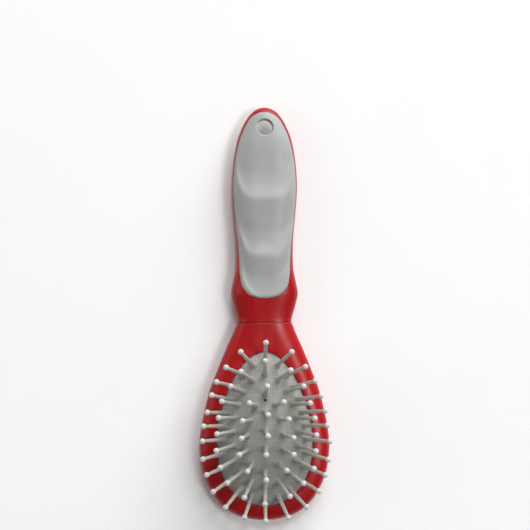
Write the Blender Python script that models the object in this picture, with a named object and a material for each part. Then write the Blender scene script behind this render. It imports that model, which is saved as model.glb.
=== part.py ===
"""A pin brush for dogs: a two-shell handle with a soft grip, and a domed cushion of ball-tipped pins.

Metres, +Z up. The brush lies on its back: +Y runs to the hanging hole, -Y to the end of the head,
and the pins point up. The origin is below the middle of the whole brush, on the surface it lies on.
Every visible surface of the hard body comes from one outline and from how high the front rises and
the back drops from the parting plane, so that the shells meet flush where they join.
"""

import math

import bmesh
import bpy
import numpy as np
from mathutils import Vector

MM = 0.001
GAP = 0.3 * MM  # clearance between neighbouring pieces

# The whole body's outline, from the end of the head to the end of the handle: (half width, y) in mm.
HEAD_OUTLINE = [
    (0, -110), (13.4, -107.8), (22.7, -102.2), (28.9, -94), (33.2, -83.3), (34.65, -70),
    (33.1, -56.7), (29.2, -40.7), (25.1, -30), (20.8, -19.3), (17.2, -11.3), (14.5, -4.6),
]
HANDLE_OUTLINE = [
    (14.75, -1.5), (16.7, 5.2), (17.8, 11.1), (16.6, 18), (15.3, 25.5), (15.3, 40), (16.5, 53.2),
    (17.35, 66), (16.8, 78.8), (14.8, 91.2), (11.9, 99.3), (8.3, 105.4), (4.5, 108.8), (0, 110),
]

# Along the body, in mm: how far the front rises and the back drops from the parting plane, and over
# what distance from the outline it does so.
PARTING_Z = 8 * MM
FRONT_RISE = [(-110, 6), (-20, 6), (-5, 6.2), (12, 8), (35, 9.6), (65, 9.8), (90, 8), (110, 5.5)]
BACK_DROP = [(-110, 8.4), (-22, 8.4), (-2, 6.4), (15, 7.4), (40, 8.4), (70, 8.4), (95, 6.6), (110, 5)]
FRONT_RADIUS = [(-110, 9), (-26, 9), (-4, 13), (110, 14)]
BACK_RADIUS = [(-110, 11), (-26, 11), (-4, 13), (110, 14)]
ROUNDNESS = 2.3  # exponent of the rounded sides: 2 is an ellipse, more is squarer

NECK_Y = -4.6 * MM  # where the head ends and the handle begins
WALL = 2.2 * MM

# Handle
FRONT_WALL = 4.0 * MM  # the front shell is thicker, because the grip lies in it
HANG_HOLE_Y = 99.1 * MM
HANG_HOLE_R = 4.35 * MM
COLLAR_WALL = 1.1 * MM
TANG_HALF_WIDTH = 9 * MM
TANG_HALF_HEIGHT = 1.8 * MM
TANG_Z = 5.9 * MM
TANG_Y = (-18.6 * MM, 15 * MM)

# Soft grip in the handle's front: (half width, y) in mm from the hole's end to the neck's end.
GRIP_OUTLINE = [
    (0, 107.3), (5.8, 105.3), (9.4, 100.6), (12.3, 94.3), (14.4, 86.8), (15.8, 78), (16.35, 66),
    (15.2, 49), (13.9, 38), (13.3, 28), (12.9, 20.5), (11.6, 14.6), (7.6, 10.2), (0, 8.9),
]
GRIP_DEPTH = 2.0 * MM
GRIP_PROUD = 0.6 * MM
GRIP_EDGE = 1.6 * MM  # width of the grip's rounded edge
# Depth of the finger scoops in mm along the grip: each falls away slowly and ends in a steep step.
SCOOP_DEPTH = [
    (8, 0), (10, 0.3), (13, 0.9), (16.5, 1.2), (20, 1.2), (29.5, 0.1), (31, 0), (32.5, 0.3),
    (34.5, 0.9), (38, 1.6), (43, 1.75), (60, 0.1), (61.5, 0), (63, 0.3), (65, 0.9), (68.5, 1.6),
    (74, 1.75), (90, 0.4), (98, 0), (107, 0),
]
SCOOP_RISE = 20 * MM  # how far each step would run up along the very edge of the grip
SCOOP_SQUARENESS = 6  # more makes a step run straighter across, with tighter corners

# Cushion: an egg with its wide end at the end of the head.
PAD_HALF_WIDTH = 25.5 * MM
PAD_NECK_Y = -20.1 * MM
PAD_END_Y = -101.7 * MM
PAD_EGG = 0.21  # how far the widest place lies from the egg's middle
PAD_SUMMIT = (0.0, -64 * MM)
PAD_EDGE_Z = 13.2 * MM
PAD_RISE = 10.3 * MM
PAD_THICKNESS = 1.5 * MM
DOME_FLATNESS = 0.8  # smaller is a more pointed dome
FLANGE_Z = 11.7 * MM
FLANGE_WIDTH = 3.0 * MM
FLANGE_THICKNESS = 1.5 * MM
LIP_Z = FLANGE_Z + GAP  # underside of the lip that holds the flange down
LEDGE_Z = FLANGE_Z - FLANGE_THICKNESS - GAP
VENT_Y = -45.1 * MM
VENT_R = 0.7 * MM

# Pins stand in three egg-shaped rings and a middle row, and lean outwards. For each ring: name, count,
# the egg through the roots (half width, neck end, far end, egg shape), and how far a ball stands
# outside its root at the sides, at the neck end and at the far end, in mm.
PIN_RINGS = [
    ("outer", 26, (21.1, -24.6, -97.4, 0.20), (11.8, 10.2, 9.6)),
    ("middle", 20, (16.9, -32.0, -89.9, 0.15), (9.2, 8.2, 6.3)),
    ("inner", 12, (9.4, -41.8, -82.6, 0.32), (4.5, 6.2, 1.6)),
]
CENTRE_PINS_Y = [-51.4 * MM, -60.8 * MM, -70.2 * MM]
CENTRE_LEAN = 0.12  # how far a middle pin's ball stands out, for its root's distance from the middle one
PIN_LENGTH = 21 * MM  # from the cushion's surface to the middle of the ball
PIN_ROOT_R = 1.4 * MM
PIN_NECK_R = 0.85 * MM
PIN_BALL_R = 1.5 * MM
PIN_HOLE_R = PIN_ROOT_R + GAP
PIN_FOOT_R = 1.8 * MM
PIN_FOOT_TOP = -2.2 * MM  # the foot lies behind the cushion
PIN_FOOT_BOTTOM = -3.0 * MM
PIN_SIDES = 6
LINK_R = 0.6 * MM

AROUND_HEAD = 44
AROUND_PAD = 32
ACROSS_HANDLE = 12


# ---------------------------------------------------------------- curves and the body's surfaces


def spline(points, steps=8):
    """A smooth curve through 2D points in mm, as rows of metres. Its ends run straight across x."""
    points = [np.array(p, float) for p in points]
    before = points[1] * (-1, 1) if points[0][0] == 0 else 2 * points[0] - points[1]
    after = points[-2] * (-1, 1) if points[-1][0] == 0 else 2 * points[-1] - points[-2]
    knots = [before] + points + [after]
    rows = []
    for a, b, c, d in zip(knots, knots[1:], knots[2:], knots[3:]):
        for t in np.arange(steps) / steps:
            bend = (2 * a - 5 * b + 4 * c - d) * t**2 + (3 * b - a - 3 * c + d) * t**3
            rows.append(0.5 * (2 * b + (c - a) * t + bend))
    rows.append(points[-1])
    return np.array(rows) * MM


SIDE = spline(HEAD_OUTLINE + HANDLE_OUTLINE)
GRIP_SIDE = spline(GRIP_OUTLINE)[::-1]


def along(table, y, smoothing=6):
    """The value in metres of a (y, value) table in mm at y, with its corners smoothed."""
    ys, values = np.array(table, float).T
    return np.interp(y / MM + np.linspace(-smoothing, smoothing, 7), ys, values).mean() * MM


def half_width(side, y):
    return float(np.interp(y, side[:, 1], side[:, 0]))


def inset(side, x, y):
    """Distance from a point inside a half outline to that outline."""
    start, step = side[:-1], side[1:] - side[:-1]
    offset = np.array((abs(x), y)) - start
    share = np.clip((offset * step).sum(1) / (step * step).sum(1), 0, 1)
    return float(np.linalg.norm(offset - step * share[:, None], axis=1).min())


def rounded(distance, radius):
    """0 at an edge and 1 from radius inwards, along a rounded shoulder."""
    share = min(distance / radius, 1.0)
    return (1 - (1 - share) ** ROUNDNESS) ** (1 / ROUNDNESS)


def front_z(x, y):
    return PARTING_Z + along(FRONT_RISE, y) * rounded(inset(SIDE, x, y), along(FRONT_RADIUS, y))


def back_z(x, y):
    """The back, flat where it would reach below the surface that the brush lies on."""
    drop = along(BACK_DROP, y) * rounded(inset(SIDE, x, y), along(BACK_RADIUS, y))
    return max(PARTING_Z - drop, 0.0)


def along_egg(half, neck_y, end_y, shape, shares):
    """Points at shares of the way round an egg outline, from its narrow neck end."""
    turn = np.linspace(0, 2 * math.pi, 721)
    middle, reach = (neck_y + end_y) / 2, (neck_y - end_y) / 2
    path = np.column_stack([half * np.sin(turn - shape * np.sin(turn)), middle + reach * np.cos(turn)])
    run = np.concatenate([[0], np.cumsum(np.linalg.norm(np.diff(path, axis=0), axis=1))])
    return np.column_stack([np.interp(shares * run[-1], run, path[:, k]) for k in (0, 1)])


def spaced_egg(half, neck_y, end_y, shape, count):
    return along_egg(half, neck_y, end_y, shape, np.arange(count) / count)


def moved_out(ring, distance):
    """A closed ring of 2D points moved outwards, or inwards where distance is negative."""
    tangent = np.roll(ring, -1, axis=0) - np.roll(ring, 1, axis=0)
    tangent /= np.linalg.norm(tangent, axis=1)[:, None]
    return ring + distance * np.column_stack([-tangent[:, 1], tangent[:, 0]])


PAD_OUTLINE = (PAD_HALF_WIDTH, PAD_NECK_Y, PAD_END_Y, PAD_EGG)
PAD_DENSE = spaced_egg(*PAD_OUTLINE, 360)
PAD_ANGLES = np.arctan2(PAD_DENSE[:, 0], PAD_DENSE[:, 1] - PAD_SUMMIT[1])
PAD_REACH = np.linalg.norm(PAD_DENSE - PAD_SUMMIT, axis=1)
PAD_ORDER = np.argsort(PAD_ANGLES)


def pad_z(x, y):
    """Height of the cushion's dome: a rounded summit and straighter flanks."""
    across, forward = x - PAD_SUMMIT[0], y - PAD_SUMMIT[1]
    reach = np.interp(math.atan2(across, forward), PAD_ANGLES[PAD_ORDER], PAD_REACH[PAD_ORDER],
                      period=2 * math.pi)
    share = math.hypot(across, forward) / reach
    drop = math.sqrt(1 + (share / DOME_FLATNESS) ** 2) - 1
    return PAD_EDGE_Z + PAD_RISE * (1 - drop / (math.sqrt(1 + 1 / DOME_FLATNESS**2) - 1))


# ---------------------------------------------------------------- making objects


def material(name, colour, roughness):
    made = bpy.data.materials.new(name)
    made.use_nodes = True
    shader = made.node_tree.nodes["Principled BSDF"]
    shader.inputs["Base Color"].default_value = (*colour, 1)
    shader.inputs["Roughness"].default_value = roughness
    shader.inputs["Metallic"].default_value = 0.0
    return made


def add_object(name, bm, finish, collection):
    """A smooth-shaded object from a bmesh, with its faces turned outwards."""
    bmesh.ops.recalc_face_normals(bm, faces=bm.faces)
    if bm.calc_volume(signed=True) < 0:
        bmesh.ops.reverse_faces(bm, faces=bm.faces)
    mesh = bpy.data.meshes.new(name)
    bm.to_mesh(mesh)
    bm.free()
    mesh.shade_smooth()
    mesh.set_sharp_from_angle(angle=math.radians(35))
    obj = bpy.data.objects.new(name, mesh)
    if finish:
        mesh.materials.append(finish)
    collection.objects.link(obj)
    return obj


def combine(obj, other, operation):
    """Cuts or joins another object into this one, and hides the other as a helper."""
    modifier = obj.modifiers.new(other.name, "BOOLEAN")
    modifier.operation = operation
    modifier.object = other
    other.hide_render = True
    other.display_type = "WIRE"


def ring_loft(rings, close_section):
    """A bmesh lofted through closed rings of 3D points. A ring of one point closes a surface to a tip."""
    bm = bmesh.new()
    made = [[bm.verts.new(p) for p in ring] for ring in rings]
    pairs = list(zip(made, made[1:]))
    if close_section:
        pairs.append((made[-1], made[0]))
    for low, high in pairs:
        count = max(len(low), len(high))
        if count == 1:
            continue
        for i in range(count):
            j = (i + 1) % count
            corners = [low[i % len(low)], low[j % len(low)], high[j % len(high)], high[i % len(high)]]
            bm.faces.new(list(dict.fromkeys(corners)))
    return bm


def cylinder(name, radius, low, high, sides, collection):
    """A plain cylinder between two points, as a helper or a part of a piece."""
    axis = Vector(high) - Vector(low)
    bm = bmesh.new()
    bmesh.ops.create_cone(
        bm, cap_ends=True, segments=sides, radius1=radius, radius2=radius, depth=axis.length
    )
    bm.transform(axis.to_track_quat("Z", "Y").to_matrix().to_4x4())
    bmesh.ops.translate(bm, verts=bm.verts, vec=(Vector(low) + Vector(high)) / 2)
    return add_object(name, bm, None, collection)


# ---------------------------------------------------------------- head


def head_ring():
    """Points round the head's outline and its cut end at the neck, from the middle of that end."""
    outline = spline(HEAD_OUTLINE)[::-1]
    run = np.concatenate([[0], np.cumsum(np.linalg.norm(np.diff(outline, axis=0), axis=1))])
    neck_points = 3
    side_points = AROUND_HEAD // 2 - neck_points
    wanted = np.linspace(0, run[-1], side_points + 1)
    side = np.column_stack([np.interp(wanted, run, outline[:, k]) for k in (0, 1)])
    cut = np.column_stack([side[0, 0] * np.arange(neck_points) / neck_points, np.full(neck_points, NECK_Y)])
    right = np.concatenate([cut, side])
    return np.concatenate([right, (right * (-1, 1))[-2:0:-1]])


def facing_pad(outer):
    """The pad outline's points that lie opposite the points of the head's outline."""
    run = np.concatenate([[0], np.cumsum(np.linalg.norm(np.diff(outer, axis=0), axis=1))])
    return along_egg(*PAD_OUTLINE, run / (run[-1] + np.linalg.norm(outer[0] - outer[-1])))


def at_height(ring, z):
    return [(x, y, z) for x, y in ring]


def on_surface(ring, surface, below=0.0):
    return [(x, y, surface(x, y) - below) for x, y in ring]


def head_back_shell(finish, collection):
    """The bowl behind the cushion: a ledge that carries its flange, and a tang into the handle."""
    outer = head_ring()
    pad = facing_pad(outer)
    middle = np.array(PAD_SUMMIT)
    rings = [at_height(outer, PARTING_Z - GAP / 2)]
    for share in (0.985, 0.95, 0.88, 0.78, 0.66, 0.4):
        rings.append(on_surface(middle + (outer - middle) * share, back_z))
    rings.append([(*PAD_SUMMIT, 0.0)])
    floor_z = WALL
    rings.append([(*PAD_SUMMIT, floor_z)])
    rings.append(at_height(middle + (pad - middle) * 0.6, floor_z))
    rings.append(at_height(moved_out(pad, -1.0 * MM), floor_z + 0.4 * MM))
    rings.append(at_height(moved_out(pad, 0.4 * MM), LEDGE_Z))
    rings.append(at_height(moved_out(pad, 2.4 * MM), LEDGE_Z))
    rings.append(at_height(moved_out(pad, 2.6 * MM), 4.0 * MM))
    rings.append(at_height(moved_out(outer, -3.4 * MM), 4.6 * MM))
    rings.append(at_height(moved_out(outer, -WALL), PARTING_Z - GAP / 2))
    shell = add_object("head_back_shell", ring_loft(rings, True), finish, collection)

    bm = bmesh.new()
    length = TANG_Y[1] - TANG_Y[0]
    bmesh.ops.create_cone(bm, cap_ends=True, segments=20, radius1=1, radius2=1, depth=length)
    bmesh.ops.rotate(bm, verts=bm.verts, matrix=Vector((0, 1, 0)).to_track_quat("Z", "Y").to_matrix())
    bmesh.ops.scale(bm, verts=bm.verts, vec=(TANG_HALF_WIDTH, 1, TANG_HALF_HEIGHT))
    bmesh.ops.translate(bm, verts=bm.verts, vec=(0, sum(TANG_Y) / 2, TANG_Z))
    combine(shell, add_object("tang", bm, None, helpers), "UNION")


def head_front_frame(finish, collection):
    """The crowned frame round the cushion, with the lip that holds the cushion's flange down."""
    outer = head_ring()
    pad = facing_pad(outer)
    opening = moved_out(pad, GAP)
    rings = [at_height(outer, PARTING_Z + GAP / 2)]
    for share in (0.02, 0.08, 0.2, 0.4, 0.65):
        rings.append(on_surface(outer + (opening - outer) * share, front_z))
    rings.append(on_surface(moved_out(opening, 0.7 * MM), front_z))
    rings.append(on_surface(opening, front_z, 0.6 * MM))
    rings.append(at_height(opening, LIP_Z))
    rings.append(at_height(moved_out(pad, FLANGE_WIDTH + 2 * GAP), LIP_Z))
    rings.append(on_surface(moved_out(outer, -3.4 * MM), front_z, 2.3 * MM))
    rings.append(at_height(moved_out(outer, -WALL), PARTING_Z + GAP / 2))
    add_object("head_front_frame", ring_loft(rings, True), finish, collection)


# ---------------------------------------------------------------- handle


def handle_grid(wall, roof, surface_sign):
    """Rows of points over one half of the handle, wall inside its outline and roof under its crown."""
    rise = FRONT_RISE if surface_sign > 0 else BACK_DROP
    radius = FRONT_RADIUS if surface_sign > 0 else BACK_RADIUS
    end_y = SIDE[-1, 1] - wall
    start_y = NECK_Y + GAP
    shares = [0, 0.05, 0.1, 0.15, 0.21, 0.28, 0.35, 0.42, 0.49, 0.56, 0.63, 0.7, 0.77, 0.83, 0.88,
              0.925, 0.957, 0.98, 0.995]
    rows = []
    for share in shares:
        y = start_y + (end_y - start_y) * share
        width = max(half_width(SIDE, y + wall * share) - wall, 0.3 * MM)
        row = []
        for step in range(ACROSS_HANDLE + 1):
            x = width * math.cos(math.pi * step / ACROSS_HANDLE)
            depth = max(inset(SIDE, x, y) - wall, 0.0) if 0 < step < ACROSS_HANDLE else 0.0
            lift = (along(rise, y) - roof) * rounded(depth, along(radius, y) - wall)
            z = PARTING_Z + surface_sign * (GAP / 2 + max(lift - GAP / 2, 0.0))
            row.append((x, y, max(z, roof if surface_sign < 0 else 0.0)))
        rows.append(row)
    return rows, (0.0, end_y, PARTING_Z + surface_sign * GAP / 2)


def handle_shell(name, surface_sign, roof, finish, collection):
    """Half of the handle: an outer and an inner surface that meet in a rim at the parting plane."""
    outer_rows, outer_tip = handle_grid(0.0, 0.0, surface_sign)
    inner_rows, inner_tip = handle_grid(WALL, roof, surface_sign)
    bm = bmesh.new()
    outer = [[bm.verts.new(p) for p in row] for row in outer_rows]
    inner = [[bm.verts.new(p) for p in row] for row in inner_rows]
    outer_end, inner_end = bm.verts.new(outer_tip), bm.verts.new(inner_tip)
    for grid, tip in ((outer, outer_end), (inner, inner_end)):
        for low, high in zip(grid, grid[1:]):
            for i in range(ACROSS_HANDLE):
                bm.faces.new((low[i], low[i + 1], high[i + 1], high[i]))
        for i in range(ACROSS_HANDLE):
            bm.faces.new((grid[-1][i], grid[-1][i + 1], tip))
    for i in range(ACROSS_HANDLE):
        bm.faces.new((outer[0][i], outer[0][i + 1], inner[0][i + 1], inner[0][i]))
    for edge in (0, ACROSS_HANDLE):
        for j in range(len(outer) - 1):
            bm.faces.new((outer[j][edge], outer[j + 1][edge], inner[j + 1][edge], inner[j][edge]))
        bm.faces.new((outer[-1][edge], outer_end, inner_end, inner[-1][edge]))
    return add_object(name, bm, finish, collection)


def grip_solid(name, spread, floor, roof, finish, collection):
    """The grip's slab: spread wider than its outline, floor below the body's surface, roof(x, y) above."""
    start_y, end_y = GRIP_SIDE[0, 1] - spread, GRIP_SIDE[-1, 1] + spread
    shares = [0.006, 0.025, 0.06, 0.1, 0.14, 0.18, 0.21, 0.232, 0.262, 0.295, 0.34, 0.4, 0.46, 0.51,
              0.54, 0.572, 0.61, 0.65, 0.71, 0.77, 0.83, 0.88, 0.925, 0.96, 0.985, 0.996]
    across = [-1, -0.97, -0.85, -0.6, -0.3, 0, 0.3, 0.6, 0.85, 0.97, 1]
    bm = bmesh.new()
    top, bottom = [], []
    for share in shares:
        y = start_y + (end_y - start_y) * share
        squeeze = (GRIP_SIDE[-1, 1] - GRIP_SIDE[0, 1]) / (end_y - start_y)
        outline_y = GRIP_SIDE[0, 1] + (y - start_y) * squeeze
        width = half_width(GRIP_SIDE, outline_y) + spread
        xs = [width * a for a in across]
        top.append([bm.verts.new((x, y, roof(x, y))) for x in xs])
        bottom.append([bm.verts.new((x, y, front_z(x, y) - floor)) for x in xs])
    for grid in (top, bottom):
        for low, high in zip(grid, grid[1:]):
            for i in range(len(across) - 1):
                bm.faces.new((low[i], low[i + 1], high[i + 1], high[i]))
    for i in range(len(across) - 1):
        for end in (0, -1):
            bm.faces.new((top[end][i], top[end][i + 1], bottom[end][i + 1], bottom[end][i]))
    for edge in (0, -1):
        for j in range(len(shares) - 1):
            bm.faces.new((top[j][edge], top[j + 1][edge], bottom[j + 1][edge], bottom[j][edge]))
    return add_object(name, bm, finish, collection)


def grip_roof(x, y):
    """The grip's face: proud of the shell, rounded at its edge, with three shallow finger scoops."""
    edge = rounded(inset(GRIP_SIDE, x, y), GRIP_EDGE)
    across = min(abs(x) / max(half_width(GRIP_SIDE, y), MM), 1.0)
    edge_share = across**SCOOP_SQUARENESS
    scoop = along(SCOOP_DEPTH, y - SCOOP_RISE * edge_share, 1.6) * (1 - edge_share)
    return front_z(x, y) + GRIP_PROUD * edge - scoop


def handle(red, grey, collection):
    back = handle_shell("handle_back_shell", -1, WALL, red, collection)
    front = handle_shell("handle_front_shell", 1, FRONT_WALL, red, collection)
    grip = grip_solid("front_grip", 0.0, GRIP_DEPTH, grip_roof, grey, collection)
    pocket = grip_solid(
        "grip_pocket", GAP, GRIP_DEPTH + GAP, lambda x, y: front_z(x, y) + 3 * MM, None, helpers
    )
    combine(front, pocket, "DIFFERENCE")
    low, high = (0, HANG_HOLE_Y, -5 * MM), (0, HANG_HOLE_Y, 25 * MM)
    collar_r = HANG_HOLE_R + COLLAR_WALL
    opening = cylinder("collar_opening", collar_r + GAP, low, high, 20, helpers)
    for shell in (back, front):
        combine(shell, opening, "DIFFERENCE")
    collar_low = (0, HANG_HOLE_Y, back_z(collar_r, HANG_HOLE_Y) + GAP)
    collar_high = (0, HANG_HOLE_Y, front_z(collar_r, HANG_HOLE_Y) - GAP)
    combine(grip, cylinder("collar", collar_r, collar_low, collar_high, 20, helpers), "UNION")
    combine(grip, cylinder("hang_hole", HANG_HOLE_R, low, high, 20, helpers), "DIFFERENCE")


# ---------------------------------------------------------------- cushion and pins


def ring_pins(count, egg, stand_out):
    """(root, axis) of each pin in a ring. Each leans outwards, square to the ring."""
    half, neck_y, end_y, shape = egg
    roots = spaced_egg(half * MM, neck_y * MM, end_y * MM, shape, count)
    side, neck, end = stand_out
    standing = []
    for (x, y), outward in zip(roots, moved_out(roots, 1.0) - roots):
        lean_x = outward[0] * side * MM
        lean_y = outward[1] * (neck if outward[1] > 0 else end) * MM
        axis = Vector((lean_x, lean_y, math.sqrt(PIN_LENGTH**2 - lean_x**2 - lean_y**2)))
        standing.append((Vector((x, y, pad_z(x, y))), axis.normalized()))
    return standing


def centre_pins():
    middle_y = CENTRE_PINS_Y[1]
    return [
        (Vector((0, y, pad_z(0, y))), Vector((0, (y - middle_y) * CENTRE_LEAN, PIN_LENGTH)).normalized())
        for y in CENTRE_PINS_Y
    ]


def upright_turn(axis):
    return Vector((0, 0, 1)).rotation_difference(axis).to_matrix()


def cushion_pad(standing, finish, collection):
    """A domed sheet with a flat flange. Each pin passes through a hole of its own."""
    pad = spaced_egg(*PAD_OUTLINE, AROUND_PAD)
    middle = np.array(PAD_SUMMIT)
    top = [at_height(moved_out(pad, FLANGE_WIDTH), FLANGE_Z)]
    top.append(at_height(moved_out(pad, -0.2 * MM), FLANGE_Z))
    for share in (0.97, 0.84, 0.66, 0.45, 0.22):
        top.append(on_surface(middle + (pad - middle) * share, pad_z))
    top.append([(*PAD_SUMMIT, pad_z(*PAD_SUMMIT))])
    under = [at_height(moved_out(pad, FLANGE_WIDTH), FLANGE_Z - FLANGE_THICKNESS)]
    under.append(at_height(moved_out(pad, -1.4 * MM), FLANGE_Z - FLANGE_THICKNESS))
    for share in (0.925, 0.82, 0.64, 0.43, 0.21):
        under.append(on_surface(middle + (pad - middle) * share, pad_z, PAD_THICKNESS))
    under.append([(*PAD_SUMMIT, pad_z(*PAD_SUMMIT) - PAD_THICKNESS)])
    cushion = add_object("cushion_pad", ring_loft(top[::-1] + under, False), finish, collection)

    bm = bmesh.new()
    for root, axis in standing:
        cone = bmesh.ops.create_cone(
            bm, cap_ends=True, segments=PIN_SIDES, radius1=PIN_HOLE_R, radius2=PIN_HOLE_R, depth=8 * MM
        )
        bmesh.ops.rotate(bm, verts=cone["verts"], matrix=upright_turn(axis))
        bmesh.ops.translate(bm, verts=cone["verts"], vec=root)
    combine(cushion, add_object("pin_holes", bm, None, helpers), "DIFFERENCE")
    vent = cylinder("vent", VENT_R, (0, VENT_Y, 15 * MM), (0, VENT_Y, 30 * MM), 8, helpers)
    combine(cushion, vent, "DIFFERENCE")


def pin_mesh():
    """One pin standing on the origin: a foot, a tapered shank and a ball, turned from a profile."""
    ball = [
        (PIN_BALL_R * math.sin(a), PIN_LENGTH - PIN_BALL_R * math.cos(a))
        for a in np.radians([50, 90, 135])
    ]
    profile = [(0, PIN_LENGTH + PIN_BALL_R)] + ball[::-1]
    profile += [(PIN_NECK_R, PIN_LENGTH - 1.7 * MM), (PIN_ROOT_R, 0.5 * MM), (PIN_ROOT_R, PIN_FOOT_TOP)]
    profile += [(PIN_FOOT_R, PIN_FOOT_TOP), (PIN_FOOT_R, PIN_FOOT_BOTTOM), (0, PIN_FOOT_BOTTOM)]
    bm = bmesh.new()
    verts = [bm.verts.new((r, 0, z)) for r, z in profile]
    edges = [bm.edges.new(pair) for pair in zip(verts, verts[1:])]
    bmesh.ops.spin(
        bm, geom=verts + edges, cent=(0, 0, 0), axis=(0, 0, 1), steps=PIN_SIDES, angle=2 * math.pi
    )
    bmesh.ops.remove_doubles(bm, verts=bm.verts, dist=1e-6)
    bmesh.ops.recalc_face_normals(bm, faces=bm.faces)
    mesh = bpy.data.meshes.new("pin")
    bm.to_mesh(mesh)
    bm.free()
    return mesh


def pin_group(name, standing, pin, finish, collection):
    """One or two pins. Two stand on one link bar behind the cushion."""
    placed = []
    for root, axis in standing:
        bm = bmesh.new()
        bm.from_mesh(pin)
        bmesh.ops.rotate(bm, verts=bm.verts, matrix=upright_turn(axis))
        bmesh.ops.translate(bm, verts=bm.verts, vec=root)
        if placed:
            placed.append(add_object(name + "_second", bm, finish, helpers))
        else:
            placed.append(add_object(name, bm, finish, collection))
    if len(placed) == 2:
        feet = [root + axis * (PIN_FOOT_TOP + PIN_FOOT_BOTTOM) / 2 for root, axis in standing]
        combine(placed[0], cylinder(name + "_link", LINK_R, *feet, 4, helpers), "UNION")
        combine(placed[0], placed[1], "UNION")


def pins(finish, collection):
    """All pins, in pairs of neighbours. Returns every pin's root and axis."""
    pin = pin_mesh()
    rings = [(name, ring_pins(count, egg, stand_out)) for name, count, egg, stand_out in PIN_RINGS]
    rings.append(("centre", centre_pins()))
    for name, standing in rings:
        for first in range(0, len(standing), 2):
            label = f"{name}_pins_{first // 2 + 1:02d}"
            pin_group(label, standing[first:first + 2], pin, finish, collection)
    return [pair for _, standing in rings for pair in standing]


for old in list(bpy.data.objects):
    bpy.data.objects.remove(old, do_unlink=True)

brush = bpy.data.collections.new("bristle_brush")
helpers = bpy.data.collections.new("helpers")
bpy.context.scene.collection.children.link(brush)
bpy.context.scene.collection.children.link(helpers)

red_plastic = material("red_plastic", (0.45, 0.008, 0.014), 0.42)
grey_rubber = material("grey_rubber", (0.50, 0.51, 0.50), 0.62)
cushion_rubber = material("cushion_rubber", (0.32, 0.32, 0.29), 0.8)
pin_plastic = material("pin_plastic", (0.55, 0.53, 0.48), 0.45)

head_back_shell(red_plastic, brush)
head_front_frame(red_plastic, brush)
handle(red_plastic, grey_rubber, brush)
standing_pins = pins(pin_plastic, brush)
cushion_pad(standing_pins, cushion_rubber, brush)
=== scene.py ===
"""The looks of the pin brush: fine shells, a woven air cushion, turned pins and a soft-touch grip."""

import math
import random

import bmesh
import bpy
import numpy as np
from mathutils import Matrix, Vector


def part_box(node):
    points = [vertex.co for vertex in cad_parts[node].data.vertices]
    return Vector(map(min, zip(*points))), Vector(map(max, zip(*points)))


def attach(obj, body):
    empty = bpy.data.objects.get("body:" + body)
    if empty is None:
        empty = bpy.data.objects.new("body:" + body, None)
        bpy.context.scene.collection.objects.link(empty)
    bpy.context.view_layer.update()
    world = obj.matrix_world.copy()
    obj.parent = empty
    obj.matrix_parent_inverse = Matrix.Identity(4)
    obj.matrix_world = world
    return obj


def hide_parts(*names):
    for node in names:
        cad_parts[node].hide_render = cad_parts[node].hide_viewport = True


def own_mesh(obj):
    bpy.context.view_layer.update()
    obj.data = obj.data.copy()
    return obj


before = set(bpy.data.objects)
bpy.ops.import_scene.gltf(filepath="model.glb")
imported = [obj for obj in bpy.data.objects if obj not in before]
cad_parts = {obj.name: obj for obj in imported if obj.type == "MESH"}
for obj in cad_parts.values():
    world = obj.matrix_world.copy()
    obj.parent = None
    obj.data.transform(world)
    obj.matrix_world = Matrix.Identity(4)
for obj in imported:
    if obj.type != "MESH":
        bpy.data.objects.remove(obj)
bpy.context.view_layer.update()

MM = 0.001
GAP = 0.3 * MM  # the clearance between the CAD model's parts
random.seed(7)

# ---------------------------------------------------------------- the body's outline and surfaces
# The same curves as the CAD model's, in mm, so that each fine piece lies where its node does.

HEAD_OUTLINE = [
    (0, -110), (13.4, -107.8), (22.7, -102.2), (28.9, -94), (33.2, -83.3), (34.65, -70),
    (33.1, -56.7), (29.2, -40.7), (25.1, -30), (20.8, -19.3), (17.2, -11.3), (14.5, -4.6),
]
HANDLE_OUTLINE = [
    (14.75, -1.5), (16.7, 5.2), (17.8, 11.1), (16.6, 18), (15.3, 25.5), (15.3, 40), (16.5, 53.2),
    (17.35, 66), (16.8, 78.8), (14.8, 91.2), (11.9, 99.3), (8.3, 105.4), (4.5, 108.8), (0, 110),
]
GRIP_OUTLINE = [
    (0, 107.3), (5.8, 105.3), (9.4, 100.6), (12.3, 94.3), (14.4, 86.8), (15.8, 78), (16.35, 66),
    (15.2, 49), (13.9, 38), (13.3, 28), (12.9, 20.5), (11.6, 14.6), (7.6, 10.2), (0, 8.9),
]
FRONT_RISE = [(-110, 6), (-20, 6), (-5, 6.2), (12, 8), (35, 9.6), (65, 9.8), (90, 8), (110, 5.5)]
BACK_DROP = [(-110, 8.4), (-22, 8.4), (-2, 6.4), (15, 7.4), (40, 8.4), (70, 8.4), (95, 6.6), (110, 5)]
FRONT_RADIUS = [(-110, 9), (-26, 9), (-4, 13), (110, 14)]
BACK_RADIUS = [(-110, 11), (-26, 11), (-4, 13), (110, 14)]
SCOOP_DEPTH = [
    (8, 0), (10, 0.3), (13, 0.9), (16.5, 1.2), (20, 1.2), (29.5, 0.1),
    (31, 0), (32.5, 0.3), (34.5, 0.9), (38, 1.6), (43, 1.75), (60, 0.1),
    (61.5, 0), (63, 0.3), (65, 0.9), (68.5, 1.6), (74, 1.75), (90, 0.4), (98, 0), (107, 0),
]
SCOOP_RISE = 20 * MM  # how far each step would run up along the very edge of the grip
SCOOP_SQUARENESS = 6  # higher keeps a scoop at its full depth nearer to the grip's edge
ROUNDNESS = 2.3  # of rounded sides: 2 is a quarter ellipse, and more is squarer
PARTING_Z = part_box("head_front_frame")[0][2] - GAP / 2
NECK_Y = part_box("head_front_frame")[1][1]
WALL = 2.2 * MM
SEAM_EDGE = 0.5 * MM  # radius of the shells' edges at the neck
PARTING_EDGE = 0.25 * MM
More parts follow.
